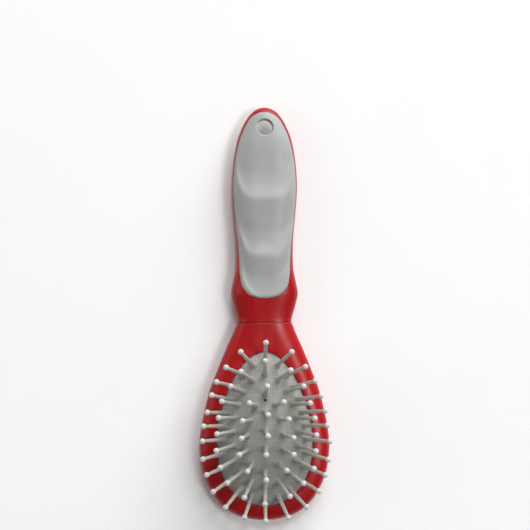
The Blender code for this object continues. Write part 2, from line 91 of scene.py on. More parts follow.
# The side walls start just past the rounded edges at the parting plane.
FRONT_SIDE_Z = PARTING_Z + GAP / 2 + PARTING_EDGE + 0.02 * MM
BACK_SIDE_Z = PARTING_Z - GAP / 2 - PARTING_EDGE - 0.02 * MM
LAND_BLEND = 0.35 * MM
TANG_HALF_WIDTH = 9 * MM
TANG_HALF_HEIGHT = 1.8 * MM
TANG_Z = 5.9 * MM
TANG_Y = (-18.6 * MM, 15 * MM)
SHOULDER_INSET = 0.7 * MM

GRIP_DEPTH = 2.0 * MM
GRIP_PROUD = 0.6 * MM
GRIP_EDGE = 1.6 * MM
HANG_HOLE = (0.0, 99.1 * MM)
HANG_HOLE_R = 4.35 * MM
COLLAR_R = 5.45 * MM

PAD_HALF_WIDTH = 25.5 * MM
PAD_NECK_Y = -20.1 * MM
PAD_END_Y = -101.7 * MM
PAD_EGG = 0.21  # 0 is an ellipse, and more moves the widest place towards the far end
PAD_SUMMIT = np.array((0.0, -64 * MM))
PAD_EDGE_Z = 13.2 * MM
PAD_RISE = 10.3 * MM
DOME_FLATNESS = 0.8
PAD_THICKNESS = 1.5 * MM
FLANGE_Z = 11.7 * MM
FLANGE_WIDTH = 3.0 * MM
FLANGE_THICKNESS = 1.5 * MM
LIP_Z = FLANGE_Z + GAP
LEDGE_Z = FLANGE_Z - FLANGE_THICKNESS - GAP
VENT = (0.0, -45.1 * MM)
VENT_R = 0.7 * MM
LIP_CLEAR = 0.08 * MM  # the frame's lip all but touches the cushion's facing
LIP_R = 0.5 * MM
WEAVE_PITCH = 1.1 * MM

# Name, count, egg through the roots (half width, neck end, far end, shape), and how far a ball
# stands outside its root at the sides, the neck end and the far end, in mm.
PIN_RINGS = [
    ("outer", 26, (21.1, -24.6, -97.4, 0.20), (11.8, 10.2, 9.6)),
    ("middle", 20, (16.9, -32.0, -89.9, 0.15), (9.2, 8.2, 6.3)),
    ("inner", 12, (9.4, -41.8, -82.6, 0.32), (4.5, 6.2, 1.6)),
]
CENTRE_PINS_Y = [-51.4 * MM, -60.8 * MM, -70.2 * MM]
CENTRE_LEAN = 0.12
PIN_LENGTH = 21 * MM
PIN_ROOT_R = 1.4 * MM
PIN_NECK_R = 0.85 * MM
PIN_BALL_R = 1.5 * MM
PIN_FOOT = 2.0 * MM  # how far a pin reaches below the cushion's face
PIN_SIDES = 28
LEAN_SPREAD = 0.02


def spline(points):
    """A smooth curve through 2D points in mm, as rows of metres. An end at x = 0 is mirrored there."""
    steps = 14
    points = [np.array(p, float) for p in points]
    before = points[1] * (-1, 1) if points[0][0] == 0 else 2 * points[0] - points[1]
    after = points[-2] * (-1, 1) if points[-1][0] == 0 else 2 * points[-1] - points[-2]
    knots = [before] + points + [after]
    rows = []
    for a, b, c, d in zip(knots, knots[1:], knots[2:], knots[3:]):
        for t in np.arange(steps) / steps:
            bend = (2 * a - 5 * b + 4 * c - d) * t**2 + (3 * b - a - 3 * c + d) * t**3
            rows.append(0.5 * (2 * b + (c - a) * t + bend))
    rows.append(points[-1])
    return np.array(rows) * MM


SIDE = spline(HEAD_OUTLINE + HANDLE_OUTLINE)
GRIP_SIDE = spline(GRIP_OUTLINE)[::-1]


def along(table, y, smoothing=7):
    """The value in metres of a (y, value) table in mm at each y, with its corners smoothed."""
    ys, values = np.array(table, float).T
    reach = np.linspace(-smoothing, smoothing, 29)
    return np.interp(np.asarray(y)[..., None] / MM + reach, ys, values).mean(-1) * MM


def inset(side, points):
    """Distance from points inside a half outline to that outline."""
    start, step = side[:-1], side[1:] - side[:-1]
    length = (step * step).sum(1)
    away = np.empty(len(points))
    at_once = 4000
    for first in range(0, len(points), at_once):
        chunk = points[first:first + at_once].copy()
        chunk[:, 0] = np.abs(chunk[:, 0])
        offset = chunk[:, None, :] - start
        share = np.clip((offset * step).sum(2) / length, 0, 1)
        away[first:first + at_once] = np.linalg.norm(offset - step * share[..., None], axis=2).min(1)
    return away


def rounded(distance, radius):
    """How far a rounded side has risen, from 0 at its edge to 1 at a radius from it."""
    share = np.clip(distance / radius, 0, 1)
    return (1 - (1 - share) ** ROUNDNESS) ** (1 / ROUNDNESS)


def seam_drop(y):
    """How far a surface falls away at the rounded edge beside the neck's seam."""
    near = np.clip(SEAM_EDGE - np.abs(y - NECK_Y), 0, SEAM_EDGE)
    return SEAM_EDGE - np.sqrt(SEAM_EDGE**2 - near**2)


def front_z(points):
    """The shells' face, crowned from the parting plane."""
    points = np.asarray(points, float)
    y = points[:, 1]
    rise = along(FRONT_RISE, y) * rounded(inset(SIDE, points), along(FRONT_RADIUS, y))
    return PARTING_Z + rise - seam_drop(y)


def back_z(points):
    """The back, eased into the flat that the brush lies on."""
    points = np.asarray(points, float)
    y = points[:, 1]
    drop = along(BACK_DROP, y) * rounded(inset(SIDE, points), along(BACK_RADIUS, y))
    z = PARTING_Z - drop
    eased = np.where(z > LAND_BLEND, z, (z + LAND_BLEND) ** 2 / (4 * LAND_BLEND))
    return np.where(z < -LAND_BLEND, 0.0, eased) + seam_drop(y)


def grip_z(points):
    """The grip's face: proud of the shell, rounded at its edge, with shallow finger scoops."""
    points = np.asarray(points, float)
    y = points[:, 1]
    edge = rounded(inset(GRIP_SIDE, points), GRIP_EDGE)
    width = np.maximum(np.interp(y, GRIP_SIDE[:, 1], GRIP_SIDE[:, 0]), MM)
    across = np.clip(np.abs(points[:, 0]) / width, 0, 1)
    edge_share = across**SCOOP_SQUARENESS
    scoop = along(SCOOP_DEPTH, y - SCOOP_RISE * edge_share, 1.6) * (1 - edge_share)
    return front_z(points) + GRIP_PROUD * edge - scoop


def run_along(path):
    """The distance along a path at each of its points."""
    return np.concatenate([[0], np.cumsum(np.linalg.norm(np.diff(path, axis=0), axis=1))])


def along_egg(half, neck_y, end_y, shape, shares):
    """Points at shares of the way round an egg outline, from its narrow neck end."""
    turn = np.linspace(0, 2 * math.pi, 1441)
    middle, reach = (neck_y + end_y) / 2, (neck_y - end_y) / 2
    path = np.column_stack([half * np.sin(turn - shape * np.sin(turn)), middle + reach * np.cos(turn)])
    run = run_along(path)
    return np.column_stack([np.interp(shares * run[-1], run, path[:, k]) for k in (0, 1)])


def spaced_egg(half, neck_y, end_y, shape, count):
    return along_egg(half, neck_y, end_y, shape, np.arange(count) / count)


def spaced(path, count):
    """count points the same distance apart along a path, without its last point."""
    run = run_along(path)
    wanted = np.arange(count) / count * run[-1]
    return np.column_stack([np.interp(wanted, run, path[:, k]) for k in (0, 1)])


def both_sides(right):
    """A closed ring from its right half, whose first and last points lie on the middle line."""
    return np.concatenate([right, (right * (-1, 1))[-2:0:-1]])


def cut_end_and_side(outline, cut_y, count):
    """A ring round a half outline and its straight cut end, from the middle of that end."""
    cut_points = 22
    side = np.concatenate([spaced(outline, count), outline[-1:]])
    cut_x = outline[0, 0] * np.arange(cut_points) / cut_points
    cut = np.column_stack([cut_x, np.full(cut_points, cut_y)])
    return both_sides(np.concatenate([cut, side]))


def moved_out(ring, distance):
    """A closed ring of 2D points moved outwards, or inwards where distance is negative."""
    after, before = np.roll(ring, -1, axis=0), np.roll(ring, 1, axis=0)
    tangent = after - before
    tangent /= np.linalg.norm(tangent, axis=1)[:, None]
    clockwise = np.sign((ring[:, 1] * after[:, 0] - ring[:, 0] * after[:, 1]).sum())
    return ring + clockwise * distance * np.column_stack([-tangent[:, 1], tangent[:, 0]])


PAD_OUTLINE = (PAD_HALF_WIDTH, PAD_NECK_Y, PAD_END_Y, PAD_EGG)
PAD_DENSE = spaced_egg(*PAD_OUTLINE, 720)
PAD_ANGLES = np.arctan2(PAD_DENSE[:, 0], PAD_DENSE[:, 1] - PAD_SUMMIT[1])
PAD_REACH = np.linalg.norm(PAD_DENSE - PAD_SUMMIT, axis=1)
PAD_ORDER = np.argsort(PAD_ANGLES)


def pad_z(points):
    """Height of the cushion's dome: a rounded summit and straighter flanks."""
    away = np.asarray(points, float) - PAD_SUMMIT
    turn = np.arctan2(away[:, 0], away[:, 1])
    reach = np.interp(turn, PAD_ANGLES[PAD_ORDER], PAD_REACH[PAD_ORDER], period=2 * math.pi)
    share = np.hypot(away[:, 0], away[:, 1]) / reach
    drop = np.sqrt(1 + (share / DOME_FLATNESS) ** 2) - 1
    return PAD_EDGE_Z + PAD_RISE * (1 - drop / (math.sqrt(1 + 1 / DOME_FLATNESS**2) - 1))


# ---------------------------------------------------------------- meshes

SHARP_FROM = math.radians(40)


def place(name, mesh, finish, body, nodes=()):
    """Makes a mesh a smooth-shaded piece that rides on a body and stands for its CAD nodes."""
    mesh.materials.append(finish)
    mesh.shade_smooth()
    mesh.set_sharp_from_angle(angle=SHARP_FROM)
    piece = bpy.data.objects.new(name, mesh)
    bpy.context.scene.collection.objects.link(piece)
    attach(piece, body)
    if nodes:
        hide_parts(*nodes)
    return piece


def mesh_of(name, bm):
    """A mesh from a closed bmesh, with its faces turned outwards."""
    bmesh.ops.remove_doubles(bm, verts=bm.verts, dist=1e-6)
    bmesh.ops.recalc_face_normals(bm, faces=bm.faces)
    if bm.calc_volume(signed=True) < 0:
        bmesh.ops.reverse_faces(bm, faces=bm.faces)
    mesh = bpy.data.meshes.new(name)
    bm.to_mesh(mesh)
    bm.free()
    return mesh


def ring_loft(bm, rings, back_to_first):
    """Lofts a surface through closed rings of 3D points, where a ring of one point is a tip."""
    made = [[bm.verts.new(p) for p in ring] for ring in rings]
    pairs = list(zip(made, made[1:]))
    if back_to_first:
        pairs.append((made[-1], made[0]))
    for low, high in pairs:
        count = max(len(low), len(high))
        if count == 1:
            continue
        for i in range(count):
            j = (i + 1) % count
            corners = [low[i % len(low)], low[j % len(low)], high[j % len(high)], high[i % len(high)]]
            bm.faces.new(list(dict.fromkeys(corners)))


def at_height(ring, z):
    """A 2D ring in space, at one height or at one for each point."""
    return np.column_stack([ring, np.full(len(ring), z) if np.isscalar(z) else z])


def bored(mesh, centre, radius, sides=72):
    """The mesh with an upright hole right through it."""
    bm = bmesh.new()
    size = {"radius1": radius, "radius2": radius, "depth": 80 * MM}
    bmesh.ops.create_cone(bm, cap_ends=True, segments=sides, **size)
    bmesh.ops.translate(bm, verts=bm.verts, vec=(*centre, 10 * MM))
    target = bpy.data.objects.new("target", mesh)
    cutter = bpy.data.objects.new("cutter", mesh_of("cylinder", bm))
    for obj in (target, cutter):
        bpy.context.scene.collection.objects.link(obj)
    modifier = target.modifiers.new("cut", "BOOLEAN")
    modifier.operation = "DIFFERENCE"
    modifier.object = cutter
    graph = bpy.context.evaluated_depsgraph_get()
    result = bpy.data.meshes.new_from_object(target.evaluated_get(graph))
    for obj in (target, cutter):
        bpy.data.objects.remove(obj)
    result.materials.clear()
    return result


# ---------------------------------------------------------------- materials


def node(tree, kind, **settings):
    """A shader node with its settings. An input is given by its name, with spaces as underscores."""
    made = tree.nodes.new(kind)
    for key, value in settings.items():
        if hasattr(made, key):
            setattr(made, key, value)
            continue
        socket = made.inputs[key.replace("_", " ")]
        if isinstance(value, bpy.types.NodeSocket):
            tree.links.new(value, socket)
        else:
            socket.default_value = value
    return made


def principled(name, **uniform):
    """A new material, its node tree and its shader, with the inputs that are the same all over."""
    made = bpy.data.materials.new(name)
    made.use_nodes = True
    shader = made.node_tree.nodes["Principled BSDF"]
    for key, value in uniform.items():
        shader.inputs[key.replace("_", " ")].default_value = value
    return made, made.node_tree, shader


def mixed(tree, share, low, high):
    """The colour between low and high, at a share that comes from a socket."""
    mix = node(tree, "ShaderNodeMix", data_type="RGBA")
    tree.links.new(share, mix.inputs[0])
    for socket, value in ((mix.inputs[6], low), (mix.inputs[7], high)):
        if isinstance(value, bpy.types.NodeSocket):
            tree.links.new(value, socket)
        else:
            socket.default_value = (*value, 1)
    return mix.outputs[2]


def scaled(tree, value, low, high, out_low, out_high):
    """A socket's value, clamped and mapped from one range to another."""
    mapped = node(tree, "ShaderNodeMapRange")
    tree.links.new(value, mapped.inputs[0])
    for index, number in enumerate((low, high, out_low, out_high), 1):
        mapped.inputs[index].default_value = number
    return mapped.outputs[0]


def noise(tree, where, scale, detail):
    made = node(tree, "ShaderNodeTexNoise", Scale=scale, Detail=detail)
    tree.links.new(where, made.inputs["Vector"])
    return made.outputs["Fac"]


def bumped(tree, shader, layers):
    """Chains bumps: (height socket, distance in metres, strength)."""
    normal = None
    for height, distance, strength in layers:
        bump = node(tree, "ShaderNodeBump", Distance=distance, Strength=strength)
        tree.links.new(height, bump.inputs["Height"])
        if normal:
            tree.links.new(normal, bump.inputs["Normal"])
        normal = bump.outputs["Normal"]
    tree.links.new(normal, shader.inputs["Normal"])


def red_plastic():
    """Satin moulded ABS: a fine spark-eroded grain, faint flow streaks along the brush."""
    made, tree, shader = principled("red_plastic", IOR=1.5, Specular_IOR_Level=0.35)
    where = node(tree, "ShaderNodeTexCoord").outputs["Object"]
    flow = node(tree, "ShaderNodeMapping")
    flow.inputs["Scale"].default_value = (1, 0.12, 1)
    tree.links.new(where, flow.inputs["Vector"])
    streaks = noise(tree, flow.outputs["Vector"], 420, 4)
    grain = noise(tree, where, 3800, 2)
    clouds = noise(tree, where, 60, 4)
    base = mixed(tree, clouds, (0.31, 0.002, 0.004), (0.37, 0.004, 0.006))
    colour = mixed(tree, scaled(tree, streaks, 0.35, 0.75, 0, 0.22), base, (0.43, 0.009, 0.011))
    tree.links.new(colour, shader.inputs["Base Color"])
    tree.links.new(scaled(tree, streaks, 0.3, 0.7, 0.27, 0.36), shader.inputs["Roughness"])
    bumped(tree, shader, [(grain, 0.00003, 0.35), (streaks, 0.00003, 0.2)])
    return made


def grey_grip():
    """Soft-touch elastomer: matt, with a fine even grain and a slight bloom."""
    made, tree, shader = principled("grey_grip", IOR=1.45, Sheen_Weight=0.15, Sheen_Roughness=0.5)
    where = node(tree, "ShaderNodeTexCoord").outputs["Object"]
    grain = noise(tree, where, 2600, 3)
    clouds = noise(tree, where, 90, 4)
    share = scaled(tree, clouds, 0.3, 0.7, 0, 1)
    colour = mixed(tree, share, (0.325, 0.335, 0.328), (0.365, 0.375, 0.368))
    tree.links.new(colour, shader.inputs["Base Color"])
    tree.links.new(scaled(tree, grain, 0.3, 0.7, 0.36, 0.48), shader.inputs["Roughness"])
    bumped(tree, shader, [(grain, 0.00004, 0.4)])
    return made


def woven_cushion():
    """Square weave bonded to the rubber, seen as a grid of beads, with painted shade in the gaps between
    them.
    """
    made, tree, shader = principled("woven_cushion", IOR=1.45, Sheen_Weight=0.3, Sheen_Roughness=0.6)
    where = node(tree, "ShaderNodeTexCoord").outputs["Object"]
    apart = node(tree, "ShaderNodeSeparateXYZ", Vector=where)
    ridges = []
    for axis in ("X", "Y"):
        turns = node(tree, "ShaderNodeMath", operation="MULTIPLY")
        tree.links.new(apart.outputs[axis], turns.inputs[0])
        turns.inputs[1].default_value = 2 * math.pi / WEAVE_PITCH
        wave = node(tree, "ShaderNodeMath", operation="COSINE")
        tree.links.new(turns.outputs[0], wave.inputs[0])
        ridges.append(scaled(tree, wave.outputs[0], -1, 0.6, 0, 1))
    bead = node(tree, "ShaderNodeMath", operation="MULTIPLY")
    for ridge, socket in zip(ridges, bead.inputs):
        tree.links.new(ridge, socket)
    fuzz = noise(tree, where, 2200, 4)
    clouds = noise(tree, where, 120, 3)
    share = scaled(tree, clouds, 0.3, 0.7, 0, 1)
    thread = mixed(tree, share, (0.385, 0.385, 0.355), (0.44, 0.44, 0.405))
    # Painted shade: the gaps between the beads are coloured darker, as the shadow in the weave's hollows.
    weave_with_painted_gap_shade = mixed(tree, bead.outputs[0], (0.24, 0.24, 0.22), thread)
    tree.links.new(weave_with_painted_gap_shade, shader.inputs["Base Color"])
    tree.links.new(scaled(tree, fuzz, 0.3, 0.7, 0.72, 0.9), shader.inputs["Roughness"])
    bumped(tree, shader, [(fuzz, 0.00003, 0.5), (bead.outputs[0], 0.00012, 0.7)])
    return made


def pin_nylon():
    """Moulded nylon, with painted shade that makes it greyer at the root by the cushion and painted light
    that makes it paler up to the ball, and a faint mottle and grain.
    """
    made, tree, shader = principled(
        "pin_nylon", IOR=1.5, Specular_IOR_Level=0.4,
        Subsurface_Weight=0.1, Subsurface_Scale=0.001, Subsurface_Radius=(1.0, 0.95, 0.85),
    )
    where = node(tree, "ShaderNodeTexCoord").outputs["Object"]
    clouds = noise(tree, where, 260, 4)
    grain = noise(tree, where, 4200, 2)
    up = node(tree, "ShaderNodeAttribute", attribute_name="up_the_pin").outputs["Fac"]
    shank = mixed(tree, scaled(tree, clouds, 0.3, 0.7, 0, 1), (0.35, 0.34, 0.305), (0.41, 0.395, 0.36))
    # Painted shade and light: darker at the root, where the cushion shades it, and paler up towards the
    # ball, as light glowing through the nylon.
    neck = mixed(tree, scaled(tree, up, 0.05, 0.7, 0, 1), shank, (0.47, 0.46, 0.43))
    colour = mixed(tree, scaled(tree, up, 0.84, 0.92, 0, 1), neck, (0.55, 0.55, 0.525))
    tree.links.new(colour, shader.inputs["Base Color"])
    tree.links.new(scaled(tree, clouds, 0.3, 0.7, 0.32, 0.46), shader.inputs["Roughness"])
    bumped(tree, shader, [(grain, 0.00002, 0.3)])
    return made


RED = red_plastic()
GREY = grey_grip()
WEAVE = woven_cushion()
PIN_NYLON = pin_nylon()


# ---------------------------------------------------------------- head

HEAD_WALL_TOP = 0.055  # the inside of the head's wall at the parting plane, as a share of the way in
HEAD_WALL_FOOT = 0.085  # and further from that plane
FRAME_STEPS = (
    0.006, 0.015, 0.03, 0.05, 0.08, 0.12, 0.17, 0.23, 0.3, 0.38, 0.47, 0.56, 0.65, 0.74, 0.82,
)
BOWL_STEPS = (
    0.002, 0.005, 0.01, 0.018, 0.03, 0.045, 0.065, 0.09, 0.12, 0.16, 0.2, 0.24, 0.28, 0.32,
    0.38, 0.45, 0.55, 0.7, 0.85,
)


def head_ring():
    """Points round the head's outline and its cut end at the neck, from the middle of that end."""
    return cut_end_and_side(spline(HEAD_OUTLINE)[::-1], NECK_Y, 108)


def facing_pad(outer):
    """The points of the cushion's outline that lie opposite those of the head's."""
    run = run_along(outer)
    return along_egg(*PAD_OUTLINE, run / (run[-1] + np.linalg.norm(outer[0] - outer[-1])))


def towards_summit(ring, share):
    """A ring drawn in evenly, by a share of its distance from below the cushion's summit."""
    return PAD_SUMMIT + (ring - PAD_SUMMIT) * (1 - share)


def edge_rings(outer, sign):
    """The rounded edge at the parting plane, from inside it to the side wall."""
    r = PARTING_EDGE
    steps = [(-r, 0.0), (-0.3 * r, 0.3 * r), (0.0, r)]
    return [at_height(moved_out(outer, out), PARTING_Z + sign * (GAP / 2 + up)) for out, up in steps]


def head_front_frame():
    """The crowned frame, with a rolled lip round the cushion."""
    outer = head_ring()
    pad = facing_pad(outer)
    opening = moved_out(pad, LIP_CLEAR)
    rings = edge_rings(outer, 1)
    for share in FRAME_STEPS:
        ring = outer + (opening - outer) * share
        rings.append(at_height(ring, np.maximum(front_z(ring), FRONT_SIDE_Z)))
    for turn in np.radians([0, 20, 40, 60, 80]):
        ring = moved_out(opening, LIP_R * (1 - math.sin(turn)))
        rings.append(at_height(ring, front_z(ring) - LIP_R * (1 - math.cos(turn))))
    rings.append(at_height(opening, LIP_Z))
    rings.append(at_height(moved_out(pad, FLANGE_WIDTH + 2 * GAP), LIP_Z))
    inner = towards_summit(outer, HEAD_WALL_FOOT)
    rings.append(at_height(inner, front_z(inner) - 2.3 * MM))
    rings.append(at_height(towards_summit(outer, HEAD_WALL_TOP), PARTING_Z + GAP / 2))
    bm = bmesh.new()
    ring_loft(bm, rings, True)
    mesh = mesh_of("head_frame_shell", bm)
    place("head_frame_shell", mesh, RED, "root", ["head_front_frame"])


def head_back_shell():
    """The bowl behind the cushion, with the ledge that the cushion's flange lies on."""
    outer = head_ring()
    pad = facing_pad(outer)
    rings = edge_rings(outer, -1)
    for share in BOWL_STEPS:
        ring = towards_summit(outer, share)
        rings.append(at_height(ring, np.minimum(back_z(ring), BACK_SIDE_Z)))
    # Inside: over the floor, up to the ledge and across it, then down and up the wall again.
    rings += [
        [(*PAD_SUMMIT, 0.0)],
        [(*PAD_SUMMIT, WALL)],
        at_height(towards_summit(pad, 0.4), WALL),
        at_height(moved_out(pad, -1.0 * MM), WALL + 0.4 * MM),
        at_height(moved_out(pad, 0.4 * MM), LEDGE_Z),
        at_height(moved_out(pad, 2.4 * MM), LEDGE_Z),
        at_height(moved_out(pad, 2.6 * MM), 4.0 * MM),
        at_height(towards_summit(outer, HEAD_WALL_FOOT), 4.6 * MM),
        at_height(towards_summit(outer, HEAD_WALL_TOP), PARTING_Z - GAP / 2),
    ]
    bm = bmesh.new()
    ring_loft(bm, rings, True)
    mesh = mesh_of("head_back_bowl", bm)
    place("head_back_bowl", mesh, RED, "root", ["head_back_shell"])


def neck_tang():
    """The tang that joins head and handle, and the shoulder that closes their seam below its edges."""
    sides = 64
    sliver = 0.02 * MM
    turns = np.arange(sides) * 2 * math.pi / sides
    tang = np.column_stack([TANG_HALF_WIDTH * np.sin(turns), TANG_Z + TANG_HALF_HEIGHT * np.cos(turns)])
    half = np.interp(NECK_Y, SIDE[:, 1], SIDE[:, 0]) - SHOULDER_INSET
    xs = half * np.sin(turns)
    line = np.column_stack([xs, np.full(sides, NECK_Y + GAP / 2)])
    edge = seam_drop(NECK_Y)
    top = front_z(line) + edge - SHOULDER_INSET
    bottom = back_z(line) - edge + SHOULDER_INSET
    shoulder = np.column_stack([xs, np.where(np.cos(turns) > 0, top, bottom)])
    rings = []
    for y, section in (
        (TANG_Y[0], tang * (0.9, 1)), (TANG_Y[0] + MM, tang), (NECK_Y + sliver, tang),
        (NECK_Y + sliver, shoulder), (NECK_Y + GAP - sliver, shoulder),
        (NECK_Y + GAP - sliver, tang), (TANG_Y[1] - MM, tang), (TANG_Y[1], tang * (0.9, 1)),
    ):
        rings.append([(x, y, z) for x, z in section])
    ends = [[(0, y, TANG_Z)] for y in TANG_Y]
    bm = bmesh.new()
    ring_loft(bm, [ends[0], *rings, ends[1]], False)
    place("neck_tang", mesh_of("neck_tang", bm), RED, "root")


# ---------------------------------------------------------------- handle and grip

HANDLE_START = NECK_Y + GAP
GRIP_MIDDLE = np.array((0.0, 52 * MM))
WALL_SHARE = 0.13  # the wall, as a share of the way from the outline to the middle line
GRIP_SIDE_Y = 14.6 * MM  # below this the grip's outline turns in to its rounded end
HANDLE_FRONT_STEPS = (
    0.008, 0.02, 0.04, 0.07, 0.12, 0.2, 0.3, 0.4, 0.5, 0.6, 0.7, 0.8, 0.88, 0.94,
)
HANDLE_BACK_STEPS = (
    0.004, 0.01, 0.02, 0.035, 0.055, 0.08, 0.11, 0.15, 0.19, 0.24, 0.3, 0.36, 0.43, 0.5,
    0.58, 0.66, 0.75, 0.84, 0.92, 1,
)
GRIP_STEPS = (
    0.006, 0.016, 0.03, 0.05, 0.075, 0.1, 0.13, 0.17, 0.21, 0.26, 0.31, 0.37, 0.43, 0.5,
    0.57, 0.64, 0.71, 0.78, 0.85, 0.92, 1,
)


def handle_ring():
    """Points round the handle's outline, from the middle of its cut end at the neck."""
    outline = SIDE[SIDE[:, 1] > HANDLE_START]
    corner = (np.interp(HANDLE_START, SIDE[:, 1], SIDE[:, 0]), HANDLE_START)
    return cut_end_and_side(np.concatenate([[corner], outline]), HANDLE_START, 150)


def along_middle(outer):
    """The points of the handle's middle line that its outline draws in to."""
    return np.column_stack([np.zeros(len(outer)), np.clip(outer[:, 1], 10 * MM, 96 * MM)])


def facing_grip(outer):
    """The points of the grip's outline that lie opposite those of the handle's."""
    half = len(outer) // 2 + 1
    right = outer[:half]
    side = right[:, 1] > GRIP_SIDE_Y
    neck_y, end_y = GRIP_SIDE[0, 1], GRIP_SIDE[-1, 1]
    found = np.empty_like(right)
    own_length = right[-1, 1] - GRIP_SIDE_Y
    y = GRIP_SIDE_Y + (right[side, 1] - GRIP_SIDE_Y) * (end_y - GRIP_SIDE_Y) / own_length
    found[side] = np.column_stack([np.interp(y, GRIP_SIDE[:, 1], GRIP_SIDE[:, 0]), y])
    low = GRIP_SIDE[GRIP_SIDE[:, 1] <= GRIP_SIDE_Y]
    run = run_along(low)
    own = run_along(right[~side])
    wanted = own / (own[-1] + 0.9 * MM) * run[-1]
    found[~side] = np.column_stack([np.interp(wanted, run, low[:, k]) for k in (0, 1)])
    found[0] = (0, neck_y)
    return both_sides(found)


def handle_front_shell():
    """The upper shell, with the pocket that the grip lies in."""
    outer = handle_ring()
    grip = facing_grip(outer)
    opening = moved_out(grip, GAP)
    opening[0, 0] = 0
    rings = edge_rings(outer, 1)
    for share in HANDLE_FRONT_STEPS:
        ring = outer + (opening - outer) * share
        rings.append(at_height(ring, np.maximum(front_z(ring), FRONT_SIDE_Z)))
    rings.append(at_height(opening, front_z(opening) - 0.12 * MM))
    floor = GRIP_DEPTH + GAP
    rings.append(at_height(opening, front_z(opening) - floor))
    for share in (0.8, 0.5, 0.2):
        ring = GRIP_MIDDLE + (opening - GRIP_MIDDLE) * share
        rings.append(at_height(ring, front_z(ring) - floor))
    rings.append(at_height(GRIP_MIDDLE[None], front_z(GRIP_MIDDLE[None]) - floor))
    wall = outer + (along_middle(outer) - outer) * WALL_SHARE
    under = 3.9 * MM
    rings.append(at_height(GRIP_MIDDLE[None], front_z(GRIP_MIDDLE[None]) - under))
    for share in (0.3, 0.6, 0.8):
        ring = GRIP_MIDDLE + (wall - GRIP_MIDDLE) * share
        rings.append(at_height(ring, np.maximum(front_z(ring) - under, PARTING_Z + GAP)))
    rings.append(at_height(wall, PARTING_Z + GAP / 2))
    bm = bmesh.new()
    ring_loft(bm, rings, True)
    mesh = bored(mesh_of("handle_front", bm), HANG_HOLE, COLLAR_R + GAP)
    place("handle_front", mesh, RED, "root", ["handle_front_shell"])


def handle_back_shell():
    """The lower shell, hollow down to its floor."""
    outer = handle_ring()
    rings = edge_rings(outer, -1)
    spine = along_middle(outer)
    for share in HANDLE_BACK_STEPS:
        ring = outer + (spine - outer) * share
        rings.append(at_height(ring, np.minimum(back_z(ring), BACK_SIDE_Z)))
    wall = outer + (spine - outer) * WALL_SHARE
    inside = [rings[0], at_height(wall, PARTING_Z - GAP / 2)]
    for share in (0.15, 0.4, 0.7, 1):
        ring = wall + (spine - wall) * share
        inside.append(at_height(ring, np.minimum(back_z(ring) + WALL, BACK_SIDE_Z)))
    bm = bmesh.new()
    ring_loft(bm, rings, False)
    ring_loft(bm, inside, False)
    mesh = bored(mesh_of("handle_back", bm), HANG_HOLE, COLLAR_R + GAP)
    place("handle_back", mesh, RED, "root", ["handle_back_shell"])


def front_grip():
    """The soft inlay, from its foot in the pocket to its scooped face."""
    outline = moved_out(facing_grip(handle_ring()), GAP - 0.04 * MM)
    spine = np.column_stack([np.zeros(len(outline)), np.clip(outline[:, 1], 24 * MM, 92 * MM)])
    foot = at_height(outline, front_z(outline) - GRIP_DEPTH)
    rings = [foot, at_height(outline, front_z(outline) - 0.2 * MM)]
    for share in GRIP_STEPS:
        ring = outline + (spine - outline) * share
        rings.append(at_height(ring, grip_z(ring)))
    under = [foot]
    for share in (0.25, 0.6, 1):
        ring = outline + (spine - outline) * share
        under.append(at_height(ring, front_z(ring) - GRIP_DEPTH))
    bm = bmesh.new()
    ring_loft(bm, rings, False)
    ring_loft(bm, under, False)
    mesh = bored(mesh_of("grip", bm), HANG_HOLE, COLLAR_R - 0.3 * MM)
    place("grip_inlay", mesh, GREY, "root", ["front_grip"])


def hole_collar():
    """The grip's lining of the hanging hole, with a rolled lip on the face and on the back."""
    turns = np.linspace(0, 2 * math.pi, 97)[:-1]
    circle = np.column_stack([np.sin(turns), np.cos(turns)])

    def ring(radius, surface, up):
        points = np.array(HANG_HOLE) + radius * circle
        return at_height(points, surface(points) + up)

    roll = 0.55 * MM
    rings = [ring(COLLAR_R - 0.25 * MM, grip_z, -0.9 * MM), ring(COLLAR_R - 0.05 * MM, grip_z, 0.02 * MM)]
    for turn in np.radians([0, 25, 50, 70, 90]):
        radius = HANG_HOLE_R + roll * (1 - math.sin(turn))
        rings.append(ring(radius, grip_z, 0.04 * MM - roll * (1 - math.cos(turn))))
    for turn in np.radians([90, 60, 30, 0]):
        radius = HANG_HOLE_R + roll * (1 - math.sin(turn))
        rings.append(ring(radius, back_z, 0.1 * MM + roll * (1 - math.cos(turn))))
    rings.append(ring(COLLAR_R, back_z, 0.1 * MM))
    rings.append(ring(COLLAR_R, grip_z, -2.2 * MM))
    bm = bmesh.new()
    ring_loft(bm, rings, True)
    place("hanging_hole_lining", mesh_of("hanging_hole_lining", bm), GREY, "root")


# ---------------------------------------------------------------- cushion and pins


def lean_of(root, x, y):
    """(root, axis) of a pin whose ball stands outside its root by x and y."""
    upright = math.sqrt(PIN_LENGTH**2 - x * x - y * y)
    return Vector((*root, float(pad_z(root[None])[0]))), Vector((x, y, upright)).normalized()


def standing_pins():
    """(ring name, [(root, axis), ...]) for every ring of pins, each from its neck end."""
    rings = []
    for name, count, (half, neck_y, end_y, shape), (side, neck, end) in PIN_RINGS:
        roots = spaced_egg(half * MM, neck_y * MM, end_y * MM, shape, count)
        outward = moved_out(roots, 1.0) - roots
        rings.append((name, [
            lean_of(root, x * side * MM, y * (neck if y > 0 else end) * MM)
            for root, (x, y) in zip(roots, outward)
        ]))
    middle_y = CENTRE_PINS_Y[1]
    row = [lean_of(np.array((0.0, y)), 0.0, (y - middle_y) * CENTRE_LEAN) for y in CENTRE_PINS_Y]
    return rings + [("centre", row)]


